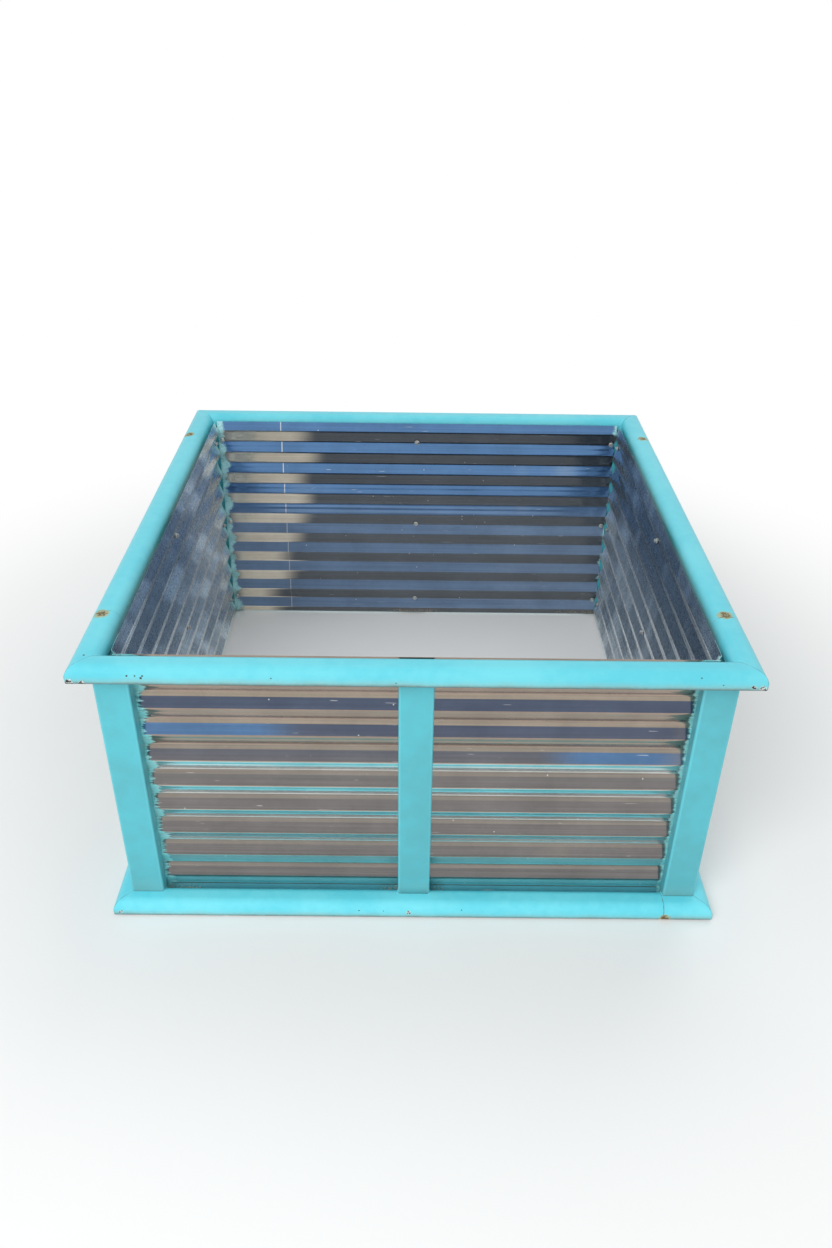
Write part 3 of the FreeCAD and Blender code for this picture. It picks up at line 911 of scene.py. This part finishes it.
def buildSheetTree():
    tree, given, leave = geometryTree("sheetShape", {
        "Half Length": sheetHalf("front"), "Top": sheetTop(),
        "Height": sheet["quarterWaves"] * sheet["pitch"] / 4, "Pitch": sheet["pitch"],
        "Depth": sheet["depth"], "Bend Radius": sheet["bendRadius"], "Thickness": sheet["thickness"],
        "Outer Face": postBack(), "Top Trim": sheet["topTrim"],
        "End Post Edge": postCentre("front") - post["width"] / 2, "Middle Post Edge": post["width"] / 2,
        "Scribe": sheet["noScribe"], "Number": 0.0, "Dent": sheet["dent"],
        "Rows": sheetRows(), "Columns": sheet["columns"], "Finish": "Material"})
    length = times(given["Half Length"], 2.0)
    grid = addNode(tree, "GeometryNodeMeshGrid", {
        "Size X": length, "Size Y": given["Height"], "Vertices X": given["Columns"],
        "Vertices Y": given["Rows"]}).outputs[0]
    x, v = positionXyz(tree)[:2]
    drop = minus(times(given["Height"], 0.5), v)
    grid = addNode(tree, "GeometryNodeDeleteGeometry", {
        "Geometry": grid, "Selection": calc("LESS_THAN", drop, given["Top Trim"])}, domain="POINT").outputs[0]
    # bends joined by straight flanks: even half pitches lie on the posts, odd ones stand into the bed
    middleDepth = minus(given["Depth"], given["Thickness"])
    spread = minus(times(given["Bend Radius"], 4.0), middleDepth)
    root = calc("SQRT", minus(calc("POWER", given["Pitch"], 2.0), times(times(middleDepth, spread), 4.0)))
    flank = times(calc("ARCTANGENT", calc("DIVIDE", minus(given["Pitch"], root), times(spread, 2.0))), 2.0)
    halfPitch = times(given["Pitch"], 0.5)
    turns = calc("DIVIDE", drop, halfPitch)
    nearest = calc("ROUND", turns)
    off = times(calc("ABSOLUTE", minus(turns, nearest)), halfPitch)
    bendReach = times(given["Bend Radius"], calc("SINE", flank))
    onBend = calc("MINIMUM", off, bendReach)
    sag = minus(given["Bend Radius"],
                calc("SQRT", minus(calc("POWER", given["Bend Radius"], 2.0), calc("POWER", onBend, 2.0))))
    sag = timesPlus(minus(off, onBend), calc("TANGENT", flank), sag)
    inward = calc("PINGPONG", nearest, 1.0)
    outwardBow = minus(middleDepth, sag)
    bow = mixValue(inward, sag, outwardBow)
    buckle = noise(joinXyz(times(x, 5.0), 0.0, times(drop, 9.0)), 1.0, 1.0)
    dent = times(times(buckle, inward), given["Dent"])
    y = minus(plus(timesPlus(given["Thickness"], 0.5, given["Outer Face"]), bow), dent)
    spot = joinXyz(x, y, minus(given["Top"], drop))
    far = calc("ABSOLUTE", x)
    toPost = calc("MINIMUM", minus(given["End Post Edge"], far), minus(far, given["Middle Post Edge"]))
    shape = storeValue(grid, "toPost", toPost)
    shape = storeValue(shape, "toEnd", minus(given["Half Length"], far))
    shape = storeValue(shape, "along", x)
    shape = storeValue(shape, "drop", drop)
    shape = storeValue(shape, "sheetNumber", given["Number"])
    shape = storeValue(shape, "toScribe", minus(x, given["Scribe"]))
    shape = setPlace(shape, spot)
    halfThick = times(given["Thickness"], 0.5)
    normal = addNode(tree, "GeometryNodeInputNormal").outputs[0]
    shift = scaleVector(normal, halfThick)
    back = scaleVector(normal, times(halfThick, -1.0))
    front = setPlace(shape, offset=shift)
    rear = setPlace(shape, offset=back)
    front = storeValue(front, "outerSide", 1.0, "FACE")
    rear = storeValue(rear, "outerSide", 0.0, "FACE")
    rear = addNode(tree, "GeometryNodeFlipFaces", {"Mesh": rear}).outputs[0]
    # a narrow rim closes the cut edges
    inwards = scaleVector(normal, times(given["Thickness"], -1.0))
    rim = addNode(tree, "GeometryNodeExtrudeMesh", {
        "Mesh": front, "Selection": edgeOfGrid(tree), "Offset": inwards, "Offset Scale": 1.0}, mode="EDGES")
    join = tree.nodes.new("GeometryNodeJoinGeometry")
    tree.links.new(rim.outputs[0], join.inputs[0])
    tree.links.new(rear, join.inputs[0])
    merged = addNode(tree, "GeometryNodeMergeByDistance",
                     {"Geometry": join.outputs[0], "Distance": sheet["mergeDistance"]}).outputs[0]
    slopeNormal = addNode(tree, "GeometryNodeInputNormal").outputs[0]
    up = splitXyz(slopeNormal)[2]
    merged = storeValue(merged, "slope", up, "CORNER")
    finishGeometry(tree, merged, given["Finish"], leave)
    return tree


def edgeOfGrid(tree):
    # the grid's outline: edges that have one face only
    around = addNode(tree, "GeometryNodeInputMeshEdgeNeighbors").outputs[0]
    return calc("LESS_THAN", around, 1.5)


def makeSheets():
    tree = buildSheetTree()
    for number, side in enumerate(bed["sideTurns"]):
        edge = postCentre(side) - post["width"] / 2
        mesh = meshFromTree("galvanised_" + side, tree, {
            "Half Length": sheetHalf(side), "End Post Edge": edge, "Number": float(number),
            "Scribe": sheet["scribeFrom"].get(side, sheet["noScribe"]), "Finish": finishes["sheet"]},
            sharpAngle=60.0)
        keepPiece("galvanised_" + side, mesh, side, "galvanised_sheet", "corrugated_sheet_" + side)
        print("sheet", side, len(mesh.polygons), "faces")


# screws and their sealing washers, three rows of three on each sheet

fastener = {
    "rowQuarters": (4, 20, 36),      # quarter waves down from the sheet's upper edge
    "fromSheetEnd": 0.010,
    "shankRadius": 0.0024,
    "shankLength": 0.019,
    "pointLength": 0.006,
    "flangeRadius": 0.0055,
    "flangeHeight": 0.0010,
    "acrossFlats": 0.008,
    "headHeight": 0.0045,
    "washerRadius": 0.007,
    "washerHeight": 0.0032,
    "steelHeight": 0.0010,
    "headChamfer": 0.0006,
    "tipRadius": 0.0005,
    "sealSquash": 0.0004,
    "turnRange": 1.047,              # a sixth of a turn
    "seed": 7,
}


def fastenerGrid(tree, given):
    # nine points on the drawn side: columns along X, rows down the sheet
    grid = addNode(tree, "GeometryNodeMeshGrid", {
        "Size X": times(given["Column"], 2.0), "Size Y": given["Rows Apart"], "Vertices X": 3,
        "Vertices Y": 3}).outputs[0]
    x, v = positionXyz(tree)[:2]
    spot = joinXyz(x, given["Seat"], plus(v, given["Middle Row"]))
    placed = setPlace(grid, spot)
    return addNode(tree, "GeometryNodeMeshToPoints", {"Mesh": placed}).outputs[0]


rowHeights = [sheetTop() - quarter * sheet["pitch"] / 4 for quarter in fastener["rowQuarters"]]
fastenerInputs = {
    "Column": sheetHalf("front") - fastener["fromSheetEnd"],
    "Rows Apart": rowHeights[0] - rowHeights[-1], "Middle Row": (rowHeights[0] + rowHeights[-1]) / 2,
    "Seat": postBack() + sheet["thickness"] + fastener["washerHeight"],
    "Seed": fastener["seed"], "Finish": "Material"}


def lathe(tree, radiusLow, radiusHigh, height, start, sides=24):
    # a ring of the screw or washer, drawn along +Z from its start
    cone = addNode(tree, "GeometryNodeMeshCone", {
        "Vertices": sides, "Radius Bottom": radiusLow, "Radius Top": radiusHigh, "Depth": height}).outputs[0]
    return addNode(tree, "GeometryNodeTransform", {"Geometry": cone, "Translation": (0, 0, start)}).outputs[0]


def placeFasteners(tree, given, leave, parts):
    join = tree.nodes.new("GeometryNodeJoinGeometry")
    for part in parts:
        tree.links.new(part, join.inputs[0])
    turn = randomVector(tree, (0.0, 0.0, 0.0), (0.0, 0.0, fastener["turnRange"]), given["Seed"])
    upright = addNode(tree, "FunctionNodeRotateEuler", {"Rotation": turn, "Rotate By": (-math.pi / 2, 0, 0)},
                      rotation_type="EULER", space="OBJECT").outputs[0]
    placed = addNode(tree, "GeometryNodeInstanceOnPoints", {
        "Points": fastenerGrid(tree, given), "Instance": join.outputs[0], "Rotation": upright}).outputs[0]
    finishGeometry(tree, placed, given["Finish"], leave)


def buildScrewTree():
    tree, given, leave = geometryTree("screwRows", fastenerInputs)
    sizes = fastener
    corner = sizes["acrossFlats"] / math.sqrt(3)
    flange, head, chamfer = sizes["flangeHeight"], sizes["headHeight"], sizes["headChamfer"]
    shank, radius, tip = sizes["shankLength"], sizes["shankRadius"], sizes["pointLength"]
    parts = [
        lathe(tree, sizes["flangeRadius"], sizes["flangeRadius"] * 0.93, flange, 0.0, 28),
        lathe(tree, corner, corner, head - chamfer, flange, 6),
        lathe(tree, corner, corner * 0.86, chamfer, flange + head - chamfer, 6),
        lathe(tree, radius, radius, shank, -shank, 16),
        lathe(tree, sizes["tipRadius"], radius, tip, -shank - tip, 16),
    ]
    placeFasteners(tree, given, leave, parts)
    return tree


def buildWasherTree():
    tree, given, leave = geometryTree("washerRows", fastenerInputs)
    sizes = fastener
    radius, steel, whole = sizes["washerRadius"], sizes["steelHeight"], sizes["washerHeight"]
    squash = sizes["sealSquash"]
    disc = lathe(tree, radius, radius * 0.80, steel, -steel, 32)
    seal = lathe(tree, radius * 0.97, radius * 0.97, whole - steel - squash, -whole + squash, 32)
    disc = storeValue(disc, "seal", 0.0, "FACE")
    seal = storeValue(seal, "seal", 1.0, "FACE")
    placeFasteners(tree, given, leave, [disc, seal])
    return tree


def makeFasteners():
    screwTree, washerTree = buildScrewTree(), buildWasherTree()
    for number, side in enumerate(bed["sideTurns"]):
        values = dict(fastenerInputs, Column=sheetHalf(side) - fastener["fromSheetEnd"],
                      Seed=fastener["seed"] + number)
        mesh = meshFromTree("screws_" + side, screwTree, dict(values, Finish=finishes["screw"]),
                            sharpAngle=30.0)
        keepPiece("screws_" + side, mesh, side, "zinc_screw", "sheet_screws_" + side)
        mesh = meshFromTree("washers_" + side, washerTree, dict(values, Finish=finishes["washer"]),
                            sharpAngle=30.0)
        keepPiece("washers_" + side, mesh, side, "bonded_washer", "sealing_washers_" + side)
    print("screws and washers: 36 of each")


# weld beads: a row of overlapping drops along each seam

weld = {
    "dropRadius": 0.0022,
    "dropSpacing": 0.0021,
    "flatten": 0.62,
    "jitter": 0.0004,
    "seed": 21,
    "beside": 0.0002,       # how far a seam stands off the side of a piece
    "over": 0.0003,         # over a crown
    "under": 0.0006,        # under the top rail
}


def buildBeadTree():
    tree, given, leave = geometryTree("weldBead", {
        "Drop Radius": weld["dropRadius"], "Drop Spacing": weld["dropSpacing"],
        "Jitter": weld["jitter"], "Seed": weld["seed"], "Finish": "Material"})
    path = addNode(tree, "GeometryNodeMeshToCurve", {"Mesh": given["Geometry"]}).outputs[0]
    path = addNode(tree, "GeometryNodeResampleCurve", {"Curve": path, "Length": given["Drop Spacing"]},
                   mode="LENGTH").outputs[0]
    drop = addNode(tree, "GeometryNodeMeshUVSphere",
                   {"Segments": 8, "Rings": 5, "Radius": given["Drop Radius"]}).outputs[0]
    size = randomVector(tree, (0.75, 0.75, weld["flatten"] * 0.8), (1.15, 1.05, weld["flatten"]),
                        given["Seed"])
    turn = randomVector(tree, (-0.5, -0.5, -0.5), (0.5, 0.5, 0.5), plus(given["Seed"], 3.0))
    placed = addNode(tree, "GeometryNodeInstanceOnPoints", {
        "Points": path, "Instance": drop, "Rotation": turn, "Scale": size}).outputs[0]
    shift = randomVector(tree, (-1.0, -1.0, -0.5), (1.0, 1.0, 0.5), plus(given["Seed"], 8.0))
    shift = scaleVector(shift, given["Jitter"])
    placed = addNode(tree, "GeometryNodeTranslateInstances", {
        "Instances": placed, "Translation": shift, "Local Space": False}).outputs[0]
    finishGeometry(tree, placed, given["Finish"], leave)
    return tree


def crownAt(inset):
    radius = rail["crownRadius"]
    off = max(radius - inset, inset - (rail["width"] - radius), 0.0)
    return rail["height"] - radius + math.sqrt(max(radius * radius - off * off, 0.0))


def footAt(x, y):
    half = bed["halfSide"]
    return max(crownAt(half - abs(x)), crownAt(half - abs(y)))


def seamPaths(side):
    # the welded seams of one drawn side, as lists of points
    half = bed["halfSide"]
    top = bed["topRailBase"]
    outer = -half + post["setback"]
    paths = []
    for share in (-1, 0, 1):
        centre = share * postCentre(side)
        for edge in (-1, 1):
            x = centre + edge * (post["width"] / 2 + weld["beside"])
            depths = [outer + 0.004 + step * 0.003 for step in range(8)]
            paths.append([(x, y, footAt(x, y) + weld["over"]) for y in depths])
            paths.append([(x, y, top - weld["under"]) for y in depths])
    inner = half - rail["width"] - weld["beside"]
    # the inner corner of the mitre on each level, and the seam under the top rail
    for base in (0.0, top):
        paths.append([(inner, -inner, base + 0.004 + step * 0.002) for step in range(8)])
    slant = [0.010 + step * 0.005 for step in range(9)]
    paths.append([(half - reach, -half + reach, top + weld["over"]) for reach in slant])
    return paths


def makeWelds():
    tree = buildBeadTree()
    for number, side in enumerate(bed["sideTurns"]):
        points, edges = [], []
        for path in seamPaths(side):
            first = len(points)
            points += path
            edges += [(first + i, first + i + 1) for i in range(len(path) - 1)]
        base = bpy.data.meshes.new("seams_" + side)
        base.from_pydata(points, edges, [])
        mesh = meshFromTree("weld_beads_" + side, tree,
                            {"Seed": weld["seed"] + number, "Finish": finishes["weld"]},
                            base=base, sharpAngle=80.0)
        keepPiece("weld_beads_" + side, mesh, side, "turquoise_paint")
        print("weld beads", side, len(mesh.polygons), "faces")


makeRails()
makePosts()
makeSheets()
makeFasteners()
makeWelds()


# floor, light and camera

studio = {
    "floorRadius": 40.0,
    "floorSides": 96,
    "floorColour": (0.93, 0.93, 0.92, 1.0),
    "plainFloorFrom": 0.95,        # from here outwards the floor fades into the white backdrop
    "plainFloorAt": 2.1,
    "skyColour": (0.93, 0.97, 1.0, 1.0),
    "skyStrength": 0.47,
    "lamps": {                     # place, size, power
        "softBoxFront": ((-1.4, -4.0, 3.9), 4.2, 190.0),
        "softBoxBack": ((1.2, 2.2, 4.6), 3.6, 55.0),
    },
}


def makeFloor():
    # seen from the camera or in a mirror the far floor is plain white; near the bed it takes the bed's shadow
    mesh = bpy.data.meshes.new("studioFloor")
    count = studio["floorSides"]
    ring = [(studio["floorRadius"] * math.cos(2 * math.pi * i / count),
             studio["floorRadius"] * math.sin(2 * math.pi * i / count), -0.0004) for i in range(count)]
    mesh.from_pydata(ring, [], [list(range(count))])
    material = bpy.data.materials.new("paleFloor")
    material.use_nodes = True
    tree = material.node_tree
    shader = tree.nodes["Principled BSDF"]
    feed(shader, {"Base Color": studio["floorColour"], "Roughness": 0.9, "Specular IOR Level": 0.0})
    place = addNode(tree, "ShaderNodeTexCoord").outputs["Object"]
    away = addNode(tree, "ShaderNodeVectorMath", {0: place}, operation="LENGTH").outputs["Value"]
    fade = times(ramp(away, studio["plainFloorFrom"], studio["plainFloorAt"]), directRay(tree))
    white = addNode(tree, "ShaderNodeEmission", {"Color": (1, 1, 1, 1), "Strength": 1.0}).outputs[0]
    blend = addNode(tree, "ShaderNodeMixShader", {0: fade, 1: shader.outputs[0], 2: white}).outputs[0]
    tree.links.new(blend, tree.nodes["Material Output"].inputs["Surface"])
    mesh.materials.append(material)
    floor = bpy.data.objects.new("studioFloor", mesh)
    bpy.context.scene.collection.objects.link(floor)


def directRay(tree):
    # 1 for what the camera sees, straight or in something shiny or clear
    path = addNode(tree, "ShaderNodeLightPath").outputs
    seen = larger(path["Is Camera Ray"], path["Is Glossy Ray"])
    return larger(seen, path["Is Transmission Ray"])


def addLamp(name, place, size, power, aim=(0.0, 0.0, 0.3)):
    lamp = bpy.data.lights.new(name, "AREA")
    lamp.shape = "DISK"
    lamp.size = size
    lamp.energy = power
    holder = bpy.data.objects.new(name, lamp)
    bpy.context.scene.collection.objects.link(holder)
    holder.location = place
    holder.rotation_euler = (Vector(place) - Vector(aim)).to_track_quat("Z", "Y").to_euler()
    holder.visible_camera = False
    holder.visible_glossy = False      # its mirror image in the sheets would be a glare


def makeLight():
    world = bpy.data.worlds.new("softStudio")
    world.use_nodes = True
    tree = world.node_tree
    sky = tree.nodes["Background"]
    feed(sky, {"Color": studio["skyColour"], "Strength": studio["skyStrength"]})
    white = addNode(tree, "ShaderNodeBackground", {"Color": (1, 1, 1, 1), "Strength": 1.0}).outputs[0]
    blend = addNode(tree, "ShaderNodeMixShader", {0: directRay(tree), 1: sky.outputs[0], 2: white}).outputs[0]
    tree.links.new(blend, tree.nodes["World Output"].inputs["Surface"])
    bpy.context.scene.world = world
    for name, (place, size, power) in studio["lamps"].items():
        addLamp(name, place, size, power)


view = {
    "place": (-0.01293, -2.16503, 1.77162),
    "pitch": 0.55494,     # looking down
    "yaw": 0.00597,
    "roll": 0.01383,
    "lens": 28.8388,      # on a frame 36 mm high
    "shiftY": -0.02235,
}


def makeCamera():
    pitch, yaw, roll = view["pitch"], view["yaw"], view["roll"]
    ahead = Vector((math.sin(yaw) * math.cos(pitch), math.cos(yaw) * math.cos(pitch), -math.sin(pitch)))
    right = Vector((math.cos(yaw), -math.sin(yaw), 0.0))
    up = right.cross(ahead)
    rightRolled = right * math.cos(roll) + up * math.sin(roll)
    upRolled = up * math.cos(roll) - right * math.sin(roll)
    lens = bpy.data.cameras.new("photoCamera")
    lens.sensor_fit = "VERTICAL"
    lens.sensor_height = 36.0
    lens.sensor_width = 24.0
    lens.lens = view["lens"]
    lens.shift_y = view["shiftY"]
    lens.clip_end = 200.0
    camera = bpy.data.objects.new("photoCamera", lens)
    bpy.context.scene.collection.objects.link(camera)
    turn = Matrix((rightRolled, upRolled, -ahead)).transposed().to_4x4()
    camera.matrix_world = Matrix.Translation(view["place"]) @ turn
    bpy.context.scene.camera = camera


makeFloor()
makeLight()
makeCamera()
bpy.context.scene.view_settings.view_transform = "Standard"
print("studio ready")
